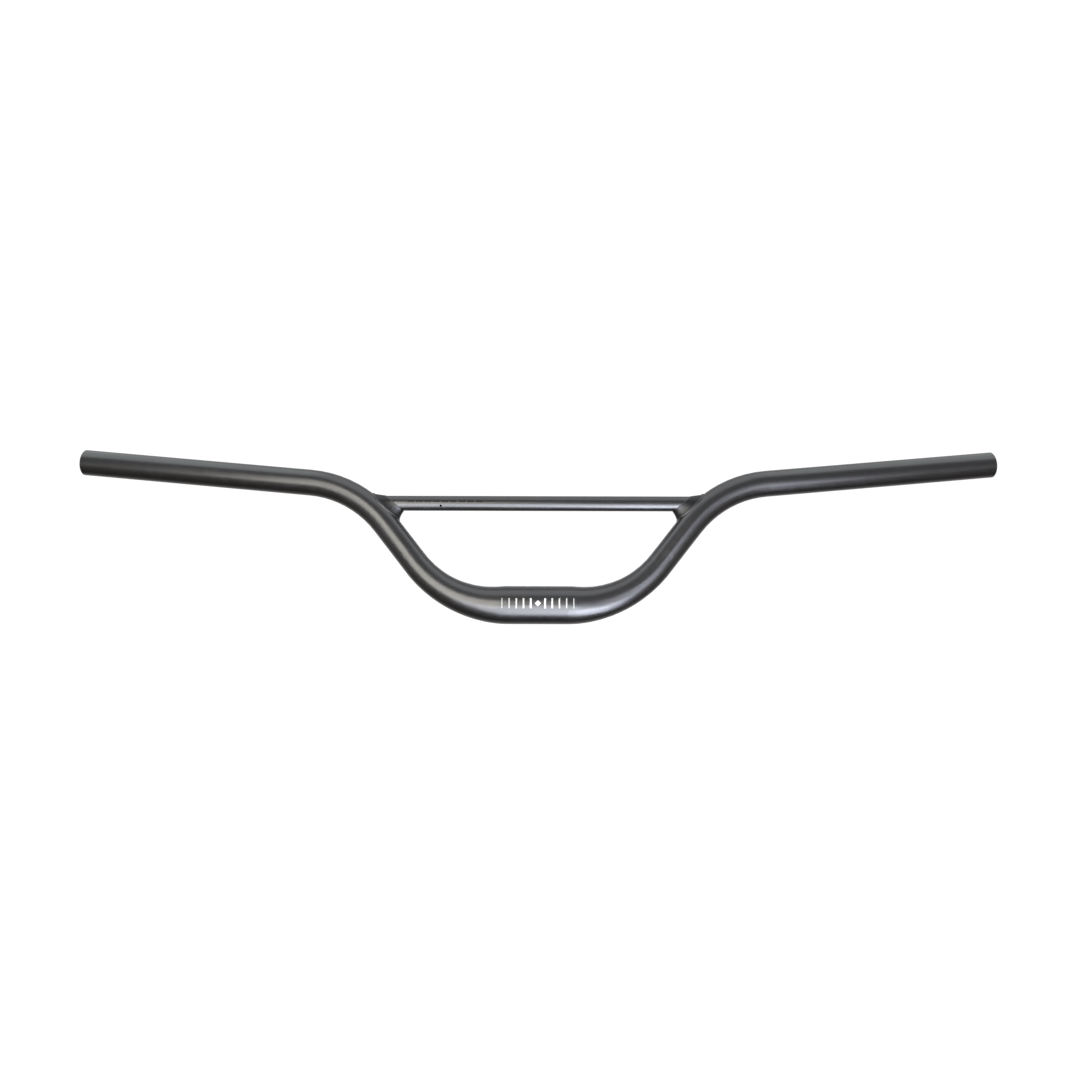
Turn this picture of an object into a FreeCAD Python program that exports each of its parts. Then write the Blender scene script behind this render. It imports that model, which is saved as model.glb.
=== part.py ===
import FreeCAD, Part
import math
import os

# Riser handlebar: one bent, butted aluminium tube with a thin crossbar welded between its risers.
# Lengths are in millimetres and angles in degrees. X runs along the bar and +Z is up. The rider sits
# on the +Y side, so the clamp marks face -Y. The origin is the middle of the stem clamp zone.

# Driving dimensions of the main tube
overall_width = 800.0
grip_diameter = 22.2
clamp_diameter = 31.8
clamp_length = 50.0
taper_length = 100.0
taper_ease = 0.08
grip_wall = 2.2
clamp_wall = 2.6
end_chamfer = 0.5

# The bar's line: the corners that its two bends round off, on the right side
low_corner_x = 75.0
high_corner_x = 154.0
high_corner_z = 99.0
rise_lean = 11.4
upsweep = 5.2
backsweep = 9.0
low_bend_radius = 91.0
high_bend_radius = 97.0

# Driving dimensions of the crossbar and the flared feet that carry it
crossbar_height = 85.0
crossbar_diameter = 12.7
crossbar_wall = 1.5
crossbar_reach = 121.7
mitre_slope = 40.0
foot_ledge = 0.6
foot_depth = 12.0
foot_top_rise = 8.0
foot_lower_flare = 5.0
foot_side_flare = 2.5
vent_diameter = 2.0
vent_x = -82.0
vent_below_front = 20.0

# Weld beads
foot_weld = 1.6
crossbar_weld = 0.5
crossbar_weld_width = 1.3

# Printed marks
ink = 0.06
tick_count = 5
tick_pitch = 5.9
tick_height = 8.3
inner_tick_width = 1.5
tick_width_step = 0.15
marks_above_front = 8.5
diamond_width = 5.0
diamond_hole = 0.9
dash_count = 9
dash_length = 5.6
dash_pitch = 7.2
dash_height = 1.5
dashes_middle_x = -78.5
dashes_above_front = 14.5

grip_radius = grip_diameter / 2
clamp_radius = clamp_diameter / 2
crossbar_radius = crossbar_diameter / 2
bore_radius = grip_radius - grip_wall
half_clamp = clamp_length / 2
taper_step = 5.0


def vector(x, y, z):
    return FreeCAD.Vector(x, y, z)


def unit(v):
    return v / v.Length


# The line of the bar's right half, as two straights, two arcs and the straight grip

def rise_y(height):
    """How far back the leaning plane of the rise is at a height."""
    return height * math.tan(math.radians(rise_lean))


grip_way = unit(vector(1, math.tan(math.radians(backsweep)), math.tan(math.radians(upsweep))))
low_corner = vector(low_corner_x, 0, 0)
high_corner = vector(high_corner_x, rise_y(high_corner_z), high_corner_z)
rise_way = unit(high_corner - low_corner)
# the rim of the slanted end disc is what reaches half the overall width
tip_x = overall_width / 2 - grip_radius * math.sqrt(1 - grip_way.x ** 2)
tip = high_corner + grip_way * ((tip_x - high_corner_x) / grip_way.x)


class Bend:
    """An arc of the bar's line that rounds off one corner."""

    def __init__(self, corner, way_in, way_out, radius):
        self.turn = way_in.getAngle(way_out)
        self.radius = radius
        cut = radius * math.tan(self.turn / 2)
        self.start = corner - way_in * cut
        self.end = corner + way_out * cut
        self.axis = unit(way_in.cross(way_out))
        self.centre = self.start + self.axis.cross(way_in) * radius
        self.way_in = way_in
        self.length = radius * self.turn

    def at(self, distance):
        """The point and the direction of the line at a distance along the arc."""
        turned = FreeCAD.Rotation(self.axis, math.degrees(distance / self.radius))
        spoke = turned.multVec(self.start - self.centre)
        return self.centre + spoke, turned.multVec(self.way_in)


low_bend = Bend(low_corner, vector(1, 0, 0), rise_way, low_bend_radius)
high_bend = Bend(high_corner, rise_way, grip_way, high_bend_radius)
low_bend_end = low_bend.start.x + low_bend.length


def line_at(distance):
    """The point and the direction of the bar's line, as far as the rise's straight."""
    if distance < low_bend.start.x:
        return vector(distance, 0, 0), vector(1, 0, 0)
    if distance < low_bend_end:
        return low_bend.at(distance - low_bend.start.x)
    return low_bend.end + rise_way * (distance - low_bend_end), rise_way


# Solids along the line

def circle(point, way, radius):
    return Part.Wire(Part.makeCircle(radius, point, way))


def straight_run(start, end, radius):
    return Part.makeCylinder(radius, (end - start).Length, start, unit(end - start))


def bent_run(bend, radius):
    disc = Part.Face(circle(bend.start, bend.way_in, radius))
    return disc.revolve(bend.centre, bend.axis, math.degrees(bend.turn))


def eased(share):
    """A share of the taper that starts level, so that the swage rolls out of the clamp zone."""
    return math.hypot(share, taper_ease) - taper_ease


def tapered_run(centre_radius, end_radius):
    """The swaged cone from the clamp zone round the low bend, steep soon after and then fading out."""
    steps = round(taper_length / taper_step)
    sections = []
    for step in range(steps + 1):
        share = step / steps
        fallen = eased(share) / eased(1)
        radius = end_radius + (centre_radius - end_radius) * (1 - fallen) ** 2
        point, way = line_at(half_clamp + share * taper_length)
        sections.append(circle(point, way, radius))
    return Part.makeLoft(sections, True, False)


def mirrored(shape):
    return shape.mirror(vector(0, 0, 0), vector(1, 0, 0))


def rod(centre_radius, end_radius, beyond_tip):
    """The whole bar as a solid rod of the given radii, in one piece from tip to tip."""
    taper_end, _ = line_at(half_clamp + taper_length)
    right = [
        tapered_run(centre_radius, end_radius),
        straight_run(taper_end, high_bend.start, end_radius),
        bent_run(high_bend, end_radius),
        straight_run(high_bend.end, tip + grip_way * beyond_tip, end_radius),
    ]
    left = [mirrored(run) for run in right]
    clamp_zone = straight_run(vector(-half_clamp, 0, 0), vector(half_clamp, 0, 0), centre_radius)
    return clamp_zone.multiFuse(right + left).removeSplitter()


def rim_edges(shape, radius):
    """The two round edges of the bar's ends."""
    ends = [tip, vector(-tip.x, tip.y, tip.z)]
    found = []
    for edge in shape.Edges:
        curve = edge.Curve
        if isinstance(curve, Part.Circle) and abs(curve.Radius - radius) < 1e-6:
            if min((curve.Center - end).Length for end in ends) < 1e-6:
                found.append(edge)
    return found


outer_rod = rod(clamp_radius, grip_radius, 0)
inner_rod = rod(clamp_radius - clamp_wall, bore_radius, 1)
main_tube = outer_rod.makeChamfer(end_chamfer, rim_edges(outer_rod, grip_radius)).cut(inner_rod)


# The crossbar and its feet. A foot's sections lie parallel to the mitre that cuts the crossbar's end.

crossbar_y = rise_y(crossbar_height)
mitre = math.radians(mitre_slope)
mitre_point = vector(crossbar_reach, crossbar_y, crossbar_height)
down_mitre = vector(-math.cos(mitre), 0, -math.sin(mitre))
into_tube = vector(math.sin(mitre), 0, -math.cos(mitre))
mitre_reach = crossbar_radius / math.sin(mitre)


def foot_section(depth, grown):
    """The foot's oval at a depth below the mitre: it flares, and turns to follow the riser's lean."""
    flare = (depth / foot_depth) ** 2
    lean = math.sin(mitre) * math.tan(math.radians(rise_lean)) * depth / foot_depth
    down = unit(down_mitre - vector(0, lean, 0))
    rim = foot_ledge + grown
    lower = mitre_reach + foot_lower_flare * flare + rim
    upper = mitre_reach + depth / math.tan(mitre - math.radians(foot_top_rise)) + rim
    side = crossbar_radius + foot_side_flare * flare + rim
    centre = mitre_point + into_tube * depth + down_mitre * ((lower - upper) / 2)
    centre.y = rise_y(centre.z)
    along = (lower + upper) / 2
    oval = Part.Ellipse(centre + down * along, centre + into_tube.cross(down) * side, centre)
    return Part.Wire(oval.toShape())


def flared_foot(grown=0.0):
    steps = 4
    return Part.makeLoft([foot_section(foot_depth * step / steps, grown) for step in range(steps + 1)], True, False)


def riser(radius):
    """The stretch of the main tube that a foot stands on, as a rod."""
    start = low_bend.end + rise_way * 5
    end = high_bend.end + grip_way * 20
    runs = [straight_run(start, high_bend.start, radius), bent_run(high_bend, radius)]
    return runs[0].multiFuse([runs[1], straight_run(high_bend.end, end, radius)])


def half_space(point, way):
    """A large block on the far side of a plane."""
    block = Part.makeBox(200, 200, 200, vector(-100, -100, 0))
    block.Placement = FreeCAD.Placement(point, FreeCAD.Rotation(vector(0, 0, 1), way))
    return block


def crossbar_rod(radius, start_x, end_x):
    start = vector(start_x, crossbar_y, crossbar_height)
    return straight_run(start, vector(end_x, crossbar_y, crossbar_height), radius)


past_mitre = half_space(mitre_point, into_tube)
before_weld = half_space(mitre_point - into_tube * crossbar_weld_width, -into_tube)
long_reach = crossbar_reach + 20
weld_start = crossbar_reach - 20

right_foot = flared_foot().cut(outer_rod)
foot_bead = flared_foot(foot_weld).common(riser(grip_radius + foot_weld)).cut(outer_rod).cut(flared_foot())
foot_bead = max(foot_bead.Solids, key=lambda solid: solid.Volume)

crossbar_bore = crossbar_rod(crossbar_radius - crossbar_wall, -long_reach, long_reach)
crossbar = crossbar_rod(crossbar_radius, -long_reach, long_reach).cut(crossbar_bore)
crossbar = crossbar.cut(past_mitre).cut(mirrored(past_mitre))
vent_way = vector(0, -math.cos(math.radians(vent_below_front)), -math.sin(math.radians(vent_below_front)))
vent = Part.makeCylinder(vent_diameter / 2, crossbar_diameter, vector(vent_x, crossbar_y, crossbar_height), vent_way)
crossbar = crossbar.cut(vent)

seam_bead = crossbar_rod(crossbar_radius + crossbar_weld, weld_start, long_reach)
seam_bead = seam_bead.cut(crossbar_rod(crossbar_radius, weld_start, long_reach))
seam_bead = seam_bead.cut(before_weld).cut(past_mitre)


# Printed marks: the ink is a thin skin on the tube, cut to each mark's outline seen from its own side

ink_skin = rod(clamp_radius + ink, grip_radius, 0)
crossbar_skin = crossbar_rod(crossbar_radius + ink, -crossbar_reach, crossbar_reach)


def facing(above_front):
    """The frame of a mark whose middle is turned upwards from the front by an angle."""
    return FreeCAD.Rotation(vector(1, 0, 0), -above_front)


def stamp(outline, middle, above_front):
    """A block that pushes an outline, drawn in X and Z, from the tube's middle out through its front."""
    block = Part.Face(outline).extrude(vector(0, -2 * clamp_radius, 0))
    block.Placement = FreeCAD.Placement(middle, facing(above_front))
    return block


def rectangle(middle_x, width, height):
    corners = [(-1, -1), (1, -1), (1, 1), (-1, 1), (-1, -1)]
    return Part.makePolygon([vector(middle_x + a * width / 2, 0, b * height / 2) for a, b in corners])


def printed(skin, tube, stamps):
    return Part.makeCompound([skin.common(block).cut(tube) for block in stamps])


def clamp_ticks(side):
    stamps = []
    for place in range(1, tick_count + 1):
        width = inner_tick_width - tick_width_step * (place - 1)
        outline = rectangle(side * place * tick_pitch, width, tick_height)
        stamps.append(stamp(outline, vector(0, 0, 0), marks_above_front))
    return printed(ink_skin, outer_rod, stamps)


def centre_diamond():
    half = diamond_width / 2
    corners = [vector(half, 0, 0), vector(0, 0, half), vector(-half, 0, 0), vector(0, 0, -half), vector(half, 0, 0)]
    whole = stamp(Part.makePolygon(corners), vector(0, 0, 0), marks_above_front)
    ring = Part.Wire(Part.makeCircle(diamond_hole / 2, vector(0, 0, 0), vector(0, -1, 0)))
    return printed(ink_skin, outer_rod, [whole.cut(stamp(ring, vector(0, 0, 0), marks_above_front))])


def crossbar_row():
    middle = vector(dashes_middle_x, crossbar_y, crossbar_height)
    stamps = []
    for place in range(dash_count):
        offset = (place - (dash_count - 1) / 2) * dash_pitch
        stamps.append(stamp(rectangle(offset, dash_length, dash_height), middle, dashes_above_front))
    return printed(crossbar_skin, crossbar_rod(crossbar_radius, -crossbar_reach, crossbar_reach), stamps)


parts = {
    "main_tube": main_tube,
    "crossbar": crossbar,
    "right_crossbar_lug": right_foot,
    "left_crossbar_lug": mirrored(right_foot),
    "right_lug_weld": foot_bead,
    "left_lug_weld": mirrored(foot_bead),
    "right_crossbar_weld": seam_bead,
    "left_crossbar_weld": mirrored(seam_bead),
    "right_clamp_ticks": clamp_ticks(1),
    "left_clamp_ticks": clamp_ticks(-1),
    "centre_mark": centre_diamond(),
    "crossbar_dashes": crossbar_row(),
}

os.makedirs("parts", exist_ok=True)
for node, shape in parts.items():
    solids = len(shape.Solids)
    print(f"{node}: {solids} solid(s), valid {shape.isValid()}, {shape.Volume:.1f} cubic millimetres")
    shape.exportStep(f"parts/{node}.step")
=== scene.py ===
# %% [markdown]
# # A riser handlebar, finished in Blender
#
# The tubes come finished in shape from the CAD model. This lesson gives the bar its looks: the satin black
# anodising, the pad-printed marks and the rippled weld beads, under a soft studio light.

# %% Load the frame
import math
import random
import bpy
from mathutils import Matrix, Vector


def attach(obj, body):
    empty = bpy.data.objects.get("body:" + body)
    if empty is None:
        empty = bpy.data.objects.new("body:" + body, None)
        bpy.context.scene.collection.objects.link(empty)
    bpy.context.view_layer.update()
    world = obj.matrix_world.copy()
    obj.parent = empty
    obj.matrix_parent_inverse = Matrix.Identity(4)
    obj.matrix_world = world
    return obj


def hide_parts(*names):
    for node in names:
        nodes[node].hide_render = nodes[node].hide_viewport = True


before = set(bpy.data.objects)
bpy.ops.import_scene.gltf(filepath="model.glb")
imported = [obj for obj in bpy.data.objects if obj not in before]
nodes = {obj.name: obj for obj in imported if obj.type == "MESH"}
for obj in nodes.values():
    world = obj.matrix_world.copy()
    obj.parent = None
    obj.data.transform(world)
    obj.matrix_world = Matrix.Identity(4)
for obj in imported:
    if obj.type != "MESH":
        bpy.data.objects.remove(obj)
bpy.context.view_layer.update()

MM = 0.001
print("pieces from CAD:", ", ".join(sorted(nodes)))

# %% [markdown]
# ## Colours and nodes
#
# A colour picked on a screen is stored in sRGB, which is bent to suit the eye. Shaders add up light, so
# they need linear values. One function does the change, and every colour below is written as a hex value.
# A second function adds a shader node and fills in or links its inputs, which keeps the materials short.

# %% Helpers for colours and nodes
def colour(hex_value):
    """The linear colour of an sRGB hex value such as 3a3b3c."""
    channels = [int(hex_value[at:at + 2], 16) / 255 for at in (0, 2, 4)]
    linear = [c / 12.92 if c <= 0.04045 else ((c + 0.055) / 1.055) ** 2.4 for c in channels]
    return (*linear, 1.0)


def add_node(owner, kind, inputs=None, **settings):
    """Adds a node to a material or a world, sets its settings, and fills or links its inputs."""
    node = owner.node_tree.nodes.new(kind)
    for name, value in settings.items():
        setattr(node, name, value)
    for name, value in (inputs or {}).items():
        if isinstance(value, bpy.types.NodeSocket):
            owner.node_tree.links.new(value, node.inputs[name])
        else:
            node.inputs[name].default_value = value
    return node


def cleared(owner):
    """A material or a world with an empty node tree."""
    owner.use_nodes = True
    owner.node_tree.nodes.clear()
    return owner


# The Mix node holds a set of sockets for each kind of value. These are the ones that mix colours.
MIX_SHARE, MIX_FROM, MIX_TO, MIX_RESULT = 0, 6, 7, 2
print("3a3b3c is", [round(channel, 4) for channel in colour("3a3b3c")[:3]])

# %% [markdown]
# ## The anodised finish
#
# The bar is aluminium, blasted to a fine even grain, then anodised and dyed black. The oxide is clear and
# the metal below still mirrors the room, so the finish is a dark metal with a satin gloss. The dye takes a
# little unevenly, so the tone drifts over a few centimetres and the gloss over a few millimetres. A coat of
# paint could be made as a plain black plastic instead, but its highlights would stay white and weak where
# these are broad and grey. Blasting leaves pits of about a tenth of a millimetre. They are too fine to show
# from a metre away, so the grain is drawn coarser, and shallow enough only to soften the highlights.

# %% Satin black anodised aluminium
DRIFT_SIZE = 25 * MM
BLOTCH_SIZE = 7 * MM
GLOSS_SWING = 0.025


def anodised(name, dark, light, roughness, grain_size, grain_depth):
    """Dyed anodising whose tone drifts between two colours, over blasted metal of a grain size."""
    material = cleared(bpy.data.materials.new(name))
    place = add_node(material, "ShaderNodeTexCoord").outputs["Object"]
    drift = add_node(material, "ShaderNodeTexNoise", {
        "Vector": place, "Scale": 1 / DRIFT_SIZE, "Detail": 3.0})
    tone = add_node(material, "ShaderNodeMix", {
        MIX_SHARE: drift.outputs["Fac"], MIX_FROM: colour(dark), MIX_TO: colour(light)}, data_type="RGBA")
    blotches = add_node(material, "ShaderNodeTexNoise", {
        "Vector": place, "Scale": 1 / BLOTCH_SIZE, "Detail": 2.0})
    gloss = add_node(material, "ShaderNodeMapRange", {
        "Value": blotches.outputs["Fac"], "From Min": 0.3, "From Max": 0.7,
        "To Min": roughness - GLOSS_SWING, "To Max": roughness + GLOSS_SWING})
    grain = add_node(material, "ShaderNodeTexNoise", {
        "Vector": place, "Scale": 1 / grain_size, "Detail": 2.0})
    relief = add_node(material, "ShaderNodeBump", {
        "Height": grain.outputs["Fac"], "Strength": 1.0, "Distance": grain_depth})
    shader = add_node(material, "ShaderNodeBsdfPrincipled", {
        "Base Color": tone.outputs[MIX_RESULT], "Metallic": 1.0, "Roughness": gloss.outputs["Result"],
        "Normal": relief.outputs["Normal"]})
    add_node(material, "ShaderNodeOutputMaterial", {"Surface": shader.outputs["BSDF"]})
    return material


# Drawn tube is the smoothest. The forged feet and the weld metal are a little rougher, and the weld metal
# takes more dye.
tube_finish = anodised(
    "satin_black_anodised_drawn_aluminium", "68686a", "717173", 0.3, 1.0 * MM, 0.005 * MM)
# The feet's darker colour is painted shade, for the dim light in their corner between the crossbar and the
# main tube.
foot_finish_with_painted_shade = anodised(
    "satin_black_anodised_forged_aluminium_with_painted_shade", "4c4c4e", "555557", 0.35, 1.0 * MM, 0.008 * MM)
bead_finish = anodised(
    "satin_black_anodised_weld_metal", "626264", "6c6c6e", 0.34, 0.6 * MM, 0.006 * MM)
print("finishes:", tube_finish.name, foot_finish_with_painted_shade.name, bead_finish.name)

# %% [markdown]
# ## The printed marks
#
# The ticks and the diamond are pad-printed: a soft pad lays a thin film of ink on the round tube. The pad
# presses hardest in the middle, so the ink thins out towards the outer ticks, and it is never quite even.
# The same way of printing in black makes the dashes on the crossbar.

# %% Pad-printed inks
SPECKLE_SIZE = 0.5 * MM
INK_WAVER = 6 * MM
INK_ROUGHNESS = 0.55


def pad_printed(name, full, thin, fade_from, fade_to):
    """Ink that goes from its full colour to its thin one with the distance from the bar's middle."""
    material = cleared(bpy.data.materials.new(name))
    place = add_node(material, "ShaderNodeTexCoord").outputs["Object"]
    along = add_node(material, "ShaderNodeSeparateXYZ", {"Vector": place}).outputs["X"]
    away = add_node(material, "ShaderNodeMath", {0: along}, operation="ABSOLUTE").outputs[0]
    speckle = add_node(material, "ShaderNodeTexNoise", {
        "Vector": place, "Scale": 1 / SPECKLE_SIZE, "Detail": 2.0})
    waver = add_node(material, "ShaderNodeMath", {
        0: speckle.outputs["Fac"], 1: 2 * INK_WAVER, 2: -INK_WAVER}, operation="MULTIPLY_ADD").outputs[0]
    reach = add_node(material, "ShaderNodeMath", {0: away, 1: waver}, operation="ADD").outputs[0]
    share = add_node(material, "ShaderNodeMapRange", {
        "Value": reach, "From Min": fade_from, "From Max": fade_to})
    tone = add_node(material, "ShaderNodeMix", {
        MIX_SHARE: share.outputs["Result"], MIX_FROM: colour(full), MIX_TO: colour(thin)}, data_type="RGBA")
    shader = add_node(material, "ShaderNodeBsdfPrincipled", {
        "Base Color": tone.outputs[MIX_RESULT], "Roughness": INK_ROUGHNESS})
    add_node(material, "ShaderNodeOutputMaterial", {"Surface": shader.outputs["BSDF"]})
    return material


white_ink = pad_printed("white_pad_printed_ink", "e2e2de", "a6a6a2", 4 * MM, 34 * MM)
black_ink = pad_printed("black_pad_printed_ink", "0b0b0a", "171715", 40 * MM, 120 * MM)
print("inks:", white_ink.name, black_ink.name)

# %% The finish of each CAD piece
finishes = {
    "main_tube": tube_finish,
    "crossbar": tube_finish,
    "right_crossbar_lug": foot_finish_with_painted_shade,
    "left_crossbar_lug": foot_finish_with_painted_shade,
    "right_clamp_ticks": white_ink,
    "left_clamp_ticks": white_ink,
    "centre_mark": white_ink,
    "crossbar_dashes": black_ink,
}
for name, material in finishes.items():
    node = nodes[name]
    if not node.material_slots:
        node.data.materials.append(material)
    for material_slot in node.material_slots:
        material_slot.material = material
print("finished:", ", ".join(finishes))

# %% [markdown]
# ## The line of a seam
#
# A weld runs where one piece stands on another, so its line can be read from the two meshes. A corner of the
# standing piece that touches the other belongs to the base of that piece, and the outermost such points, one
# for each small turn about the base's middle, are the seam. Each point also keeps the way out of the corner
# between the two surfaces, because a bead rises that way.

# %% Finding a seam
SEAM_STEPS = 60
EDGE_SAMPLES = 12
TOUCH = 0.25 * MM
MITRE = math.radians(40)


def touching_corners(rising, base, side):
    """The corners of one node that lie on another, on one side of the bar, with the base's normals."""
    touching = {}
    for corner in nodes[rising].data.vertices:
        _, nearest, normal, _ = nodes[base].closest_point_on_mesh(corner.co)
        if corner.co.x * side > 0 and (nearest - corner.co).length < TOUCH:
            touching[corner.index] = (corner.co.copy(), normal.copy())
    return touching


def seam_line(rising, base, side):
    """The seam's points in order round it, each with the way out of its corner."""
    touching = touching_corners(rising, base, side)
    down_mitre = Vector((-side * math.cos(MITRE), 0, -math.sin(MITRE)))
    lowest = Vector(min(at[axis] for at, _ in touching.values()) for axis in range(3))
    highest = Vector(max(at[axis] for at, _ in touching.values()) for axis in range(3))
    middle = (lowest + highest) / 2
    outermost = {}
    for edge in nodes[rising].data.edges:
        if not all(end in touching for end in edge.vertices):
            continue
        (start, start_normal), (stop, stop_normal) = (touching[end] for end in edge.vertices)
        for sample in range(EDGE_SAMPLES + 1):
            spoke = start.lerp(stop, sample / EDGE_SAMPLES) - middle
            normal = start_normal.lerp(stop_normal, sample / EDGE_SAMPLES).normalized()
            turn = math.atan2(spoke.y, spoke.dot(down_mitre)) % math.tau
            step = int(turn / math.tau * SEAM_STEPS)
            if step not in outermost or spoke.length > outermost[step][0]:
                spoke_out = (spoke - normal * spoke.dot(normal)).normalized()
                outermost[step] = (spoke.length, middle + spoke, (normal + spoke_out).normalized())
    ring = [outermost[step][1:] for step in sorted(outermost)]
    smooth = []
    for k in range(len(ring)):
        before, here, after = ring[k - 1], ring[k], ring[(k + 1) % len(ring)]
        smooth.append(tuple((before[part] + here[part] * 2 + after[part]) / 4 for part in (0, 1)))
    return smooth


def evenly_spaced(ring, pitch):
    """Places at an even pitch along a closed ring: the point, the way along and the way out."""
    lengths = [(ring[(k + 1) % len(ring)][0] - ring[k][0]).length for k in range(len(ring))]
    count = round(sum(lengths) / pitch)
    spots = []
    for place in range(count):
        left = place / count * sum(lengths)
        k = 0
        while left > lengths[k]:
            left -= lengths[k]
            k += 1
        (here, out_here), (there, out_there) = ring[k], ring[(k + 1) % len(ring)]
        share = left / lengths[k]
        spots.append((here.lerp(there, share), (there - here).normalized(), out_here.lerp(out_there, share)))
    return spots


for rising, base in (("right_crossbar_lug", "main_tube"), ("crossbar", "right_crossbar_lug")):
    ring = seam_line(rising, base, 1)
    around = sum((ring[k][0] - ring[k - 1][0]).length for k in range(len(ring)))
    print(f"the seam of {rising} on {base}: {len(ring)} points, {around / MM:.1f} mm round")

# %% [markdown]
# ## The weld beads
#
# The feet and the crossbar are joined by hand with a torch and a filler rod. Each dab of the rod leaves a
# flat round puddle that freezes over the one before, so a bead looks like a low row of fallen coins. Here
# one dab is modelled as a flattened ball and copied along the seam, and a fine remesh melts the copies into
# one skin. Displacing a plain tube with a wave would be shorter, but its ripples would all be alike.

# %% Rippled weld beads
DAB_SHARES = (1, 1.15, 0.62)
DAB_SWELLING = 0.04
FOOT_DAB = 1.1 * MM
FOOT_PITCH = 0.95 * MM
CROSSBAR_DAB = 0.62 * MM
CROSSBAR_PITCH = 0.55 * MM
hand = random.Random(7)


def weld_bead(name, seam, size, pitch):
    """A bead of overlapping dabs along a seam. A dab is its size times the shares long, wide and low."""
    bpy.ops.object.select_all(action="DESELECT")
    bpy.ops.mesh.primitive_uv_sphere_add(segments=20, ring_count=12, radius=1, location=(0, 0, 0))
    dab = bpy.context.object
    dabs = []
    for at, along, out in evenly_spaced(seam, pitch):
        wide = out.cross(along).normalized()
        turned = Matrix((along, wide, along.cross(wide))).transposed().to_4x4()
        swollen = size * hand.uniform(1 - DAB_SWELLING, 1 + DAB_SWELLING)
        flattened = Matrix.Diagonal((*(swollen * share for share in DAB_SHARES), 1))
        copy = dab.copy()
        copy.data = dab.data.copy()
        copy.data.transform(Matrix.Translation(at) @ turned @ flattened)
        bpy.context.scene.collection.objects.link(copy)
        dabs.append(copy)
    bpy.data.objects.remove(dab)
    for copy in dabs:
        copy.select_set(True)
    bpy.context.view_layer.objects.active = dabs[0]
    bpy.ops.object.join()
    bead = dabs[0]
    bead.name = name + "_bead"
    melt = bead.modifiers.new("melt", "REMESH")
    melt.mode = "VOXEL"
    melt.voxel_size = size * 0.16
    bpy.ops.object.modifier_apply(modifier=melt.name)
    settle = bead.modifiers.new("settle", "SMOOTH")
    settle.iterations = 3
    bpy.ops.object.modifier_apply(modifier=settle.name)
    bpy.ops.object.shade_smooth()
    bead.data.materials.append(bead_finish)
    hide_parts(name)
    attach(bead, "root")
    print(f"{bead.name}: {len(dabs)} dabs, {len(bead.data.polygons)} faces")


for side_name, side in (("right", 1), ("left", -1)):
    foot = side_name + "_crossbar_lug"
    weld_bead(side_name + "_lug_weld", seam_line(foot, "main_tube", side), FOOT_DAB, FOOT_PITCH)
    weld_bead(side_name + "_crossbar_weld", seam_line("crossbar", foot, side), CROSSBAR_DAB, CROSSBAR_PITCH)

# %% [markdown]
# ## The camera
#
# The bar is seen square from the front, from about a metre away and a little above its clamp zone. The lens
# is a normal one, so the swept-back grips look only slightly shorter than they are.

# %% Camera
camera = bpy.data.objects.new("camera", bpy.data.cameras.new("camera"))
bpy.context.scene.collection.objects.link(camera)
camera.data.sensor_width = 36.0
camera.data.lens = 42.03
camera.location = (0.0016, -1.05, 0.0542)
camera.rotation_euler = (math.radians(90), math.radians(-0.15), 0)
bpy.context.scene.camera = camera
print("camera at", [round(value, 4) for value in camera.location])

# %% [markdown]
# ## The table and the room
#
# The bar hangs over a bright white table in a dim room. A satin tube mirrors all that is round it, so the
# room has to be grey: lighter at the height of the bar and behind it, and nearly black and slightly warm
# below. A white room would wash the tube's edges out. The camera itself sees plain white paper beyond the
# table, because a dim room would make a grey picture.

# %% Table
TABLE_SIZE = 30
TABLE_HEIGHT = -1.1

bpy.ops.mesh.primitive_plane_add(size=TABLE_SIZE, location=(0, 0, TABLE_HEIGHT))
table = bpy.context.object
table.name = "table"
table.visible_glossy = False
table_top = cleared(bpy.data.materials.new("backlit_white_table"))
shader = add_node(table_top, "ShaderNodeBsdfPrincipled", {
    "Base Color": colour("f4f4f4"), "Roughness": 0.9,
    "Emission Color": (1, 1, 1, 1), "Emission Strength": 1.0})
add_node(table_top, "ShaderNodeOutputMaterial", {"Surface": shader.outputs["BSDF"]})
table.data.materials.append(table_top)
print("table at", table.location.z)

# %% Grey room
# How bright the room is by height, where -1 is straight down, 0 is the horizon and 1 is straight up
FLOOR = (-1.0, 0.05)
LOWER_WALLS = (-0.5, 0.15)
LIGHT_BAND = (-0.15, 0.35)
WALLS = (0.2, 0.22)
UPPER_WALLS = (0.7, 0.25)
CEILING = (1.0, 0.35)
LEVELS = [FLOOR, LOWER_WALLS, LIGHT_BAND, WALLS, UPPER_WALLS, CEILING]
WARM_BELOW = -0.4
WARMTH = 0.12
FAR_WALL = 0.45
PAPER = 1.05

world = cleared(bpy.data.worlds.new("grey_room"))
bpy.context.scene.world = world
heading = add_node(world, "ShaderNodeTexCoord").outputs["Generated"]
split = add_node(world, "ShaderNodeSeparateXYZ", {"Vector": heading})
rise = add_node(world, "ShaderNodeMapRange", {"Value": split.outputs["Z"], "From Min": -1.0})
walls = add_node(world, "ShaderNodeValToRGB", {"Fac": rise.outputs["Result"]})
while len(walls.color_ramp.elements) < len(LEVELS):
    walls.color_ramp.elements.new(0.5)
for stop, (height, level) in zip(walls.color_ramp.elements, LEVELS):
    stop.position = (height + 1) / 2
    warmth = WARMTH if height < WARM_BELOW else 0.0
    stop.color = (level * (1 + warmth), level, level * (1 - warmth), 1)
far_wall = add_node(world, "ShaderNodeMapRange", {
    "Value": split.outputs["Y"], "From Min": 0.3, "From Max": 0.9, "To Max": FAR_WALL})
room = add_node(world, "ShaderNodeBackground", {"Color": walls.outputs["Color"]})
backdrop = add_node(world, "ShaderNodeBackground", {
    "Color": (1, 1, 1, 1), "Strength": far_wall.outputs["Result"]})
lit_room = add_node(world, "ShaderNodeAddShader", {0: room.outputs[0], 1: backdrop.outputs[0]})
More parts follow.
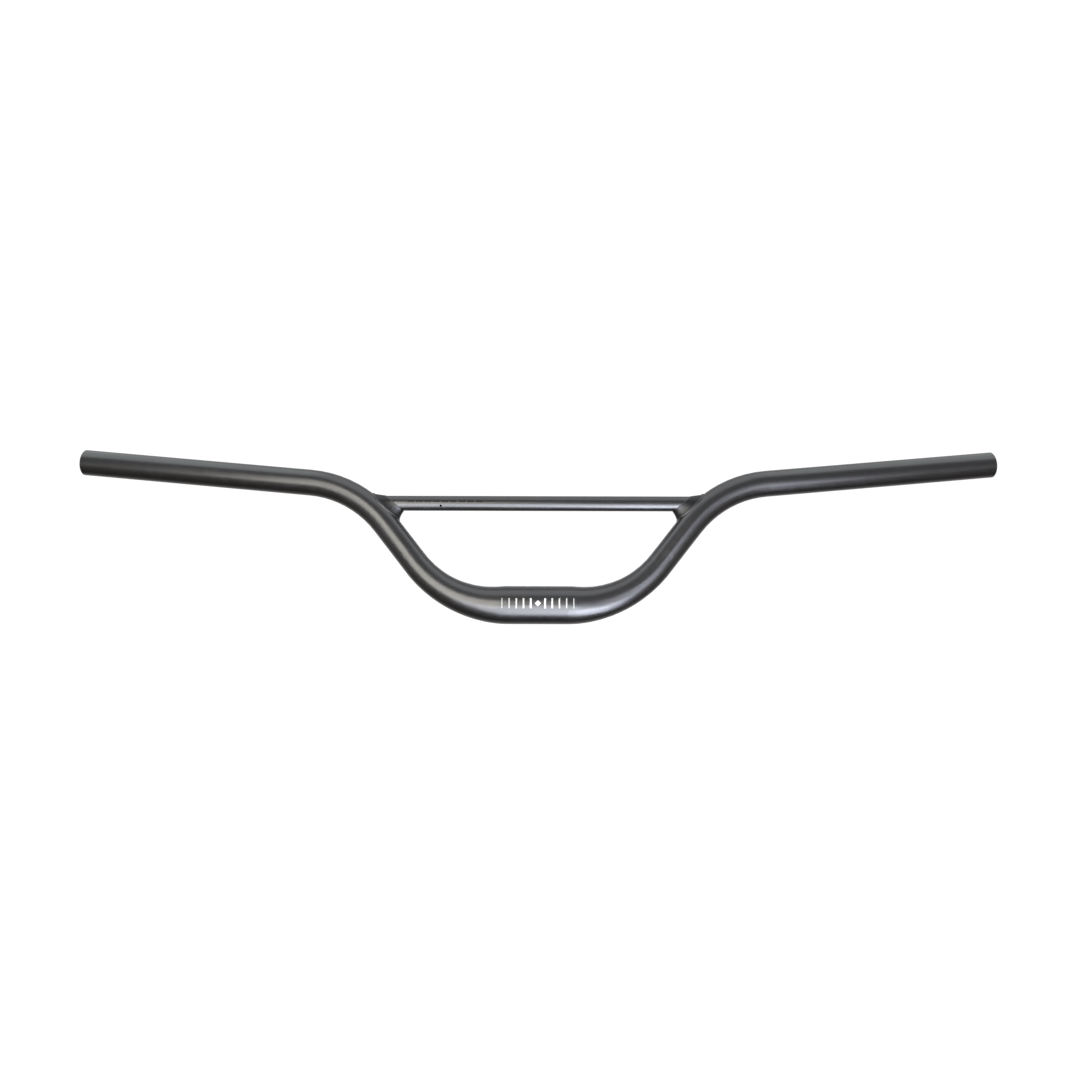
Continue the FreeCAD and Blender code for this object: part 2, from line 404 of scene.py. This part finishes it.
paper = add_node(world, "ShaderNodeBackground", {"Color": (1, 1, 1, 1), "Strength": PAPER})
seen = add_node(world, "ShaderNodeLightPath").outputs["Is Camera Ray"]
shown = add_node(world, "ShaderNodeMixShader", {0: seen, 1: lit_room.outputs[0], 2: paper.outputs[0]})
add_node(world, "ShaderNodeOutputWorld", {"Surface": shown.outputs[0]})
bpy.context.scene.view_settings.view_transform = "Standard"
print("room levels:", len(LEVELS))

# %% [markdown]
# ## The light panels
#
# A satin tube shows its lights as long stripes, so the lights are large panels close to the bar. A warm one
# stands just above the camera's height on the left, and cooler ones stand low in front and to the right.
# One overhead lights the tops, two at the sides light the slopes of the rises, and a long strip behind
# gives the back of the bar a stripe too.

# %% Light panels
BAR_MIDDLE = Vector((0, 0, 0.05))
PANEL_DISTANCE = 0.85


def light_panel(name, azimuth, elevation, roll, long, wide, radiance, hex_value):
    """A flat panel aimed at the bar, its sides in metres. Azimuth 0 is towards the camera and turns to +X."""
    turn, lift, roll = math.radians(azimuth), math.radians(elevation), math.radians(roll)
    way = Vector((math.sin(turn) * math.cos(lift), -math.cos(turn) * math.cos(lift), math.sin(lift)))
    right = way.cross(Vector((0, 0, 1))).normalized()
    side = right * math.cos(roll) + right.cross(way) * math.sin(roll)
    data = bpy.data.lights.new(name, "AREA")
    data.shape = "RECTANGLE"
    data.size = long
    data.size_y = wide
    data.color = colour(hex_value)[:3]
    data.energy = radiance * math.pi * long * wide
    panel = bpy.data.objects.new(name, data)
    bpy.context.scene.collection.objects.link(panel)
    turned = Matrix((side, way.cross(side), way)).transposed().to_4x4()
    panel.matrix_world = Matrix.Translation(BAR_MIDDLE + way * PANEL_DISTANCE) @ turned
    panel.visible_camera = False
    return panel


panels = [
    light_panel("warm_panel", -25, 5, 15, 0.55, 0.7, 2.5, "fffaec"),
    light_panel("front_panel", 0, -30, -35, 0.75, 0.75, 3.2, "f5f8ff"),
    light_panel("low_panel", 30, -45, -100, 0.55, 0.45, 5, "ebf1ff"),
    light_panel("side_panel", 35, -5, -35, 0.2, 0.6, 2.5, "f0f4ff"),
    light_panel("top_panel", 0, 89, 0, 0.7, 0.85, 0.5, "f6faf9"),
    light_panel("rear_panel", 180, 9, 0, 1.5, 0.2, 1.6, "ffffff"),
    light_panel("left_roof_panel", -100, 46, 0, 0.7, 0.7, 0.85, "eef6f4"),
    light_panel("right_roof_panel", 100, 46, 0, 0.7, 0.7, 0.75, "eef6f4"),
]
print("panels:", ", ".join(panel.name for panel in panels))
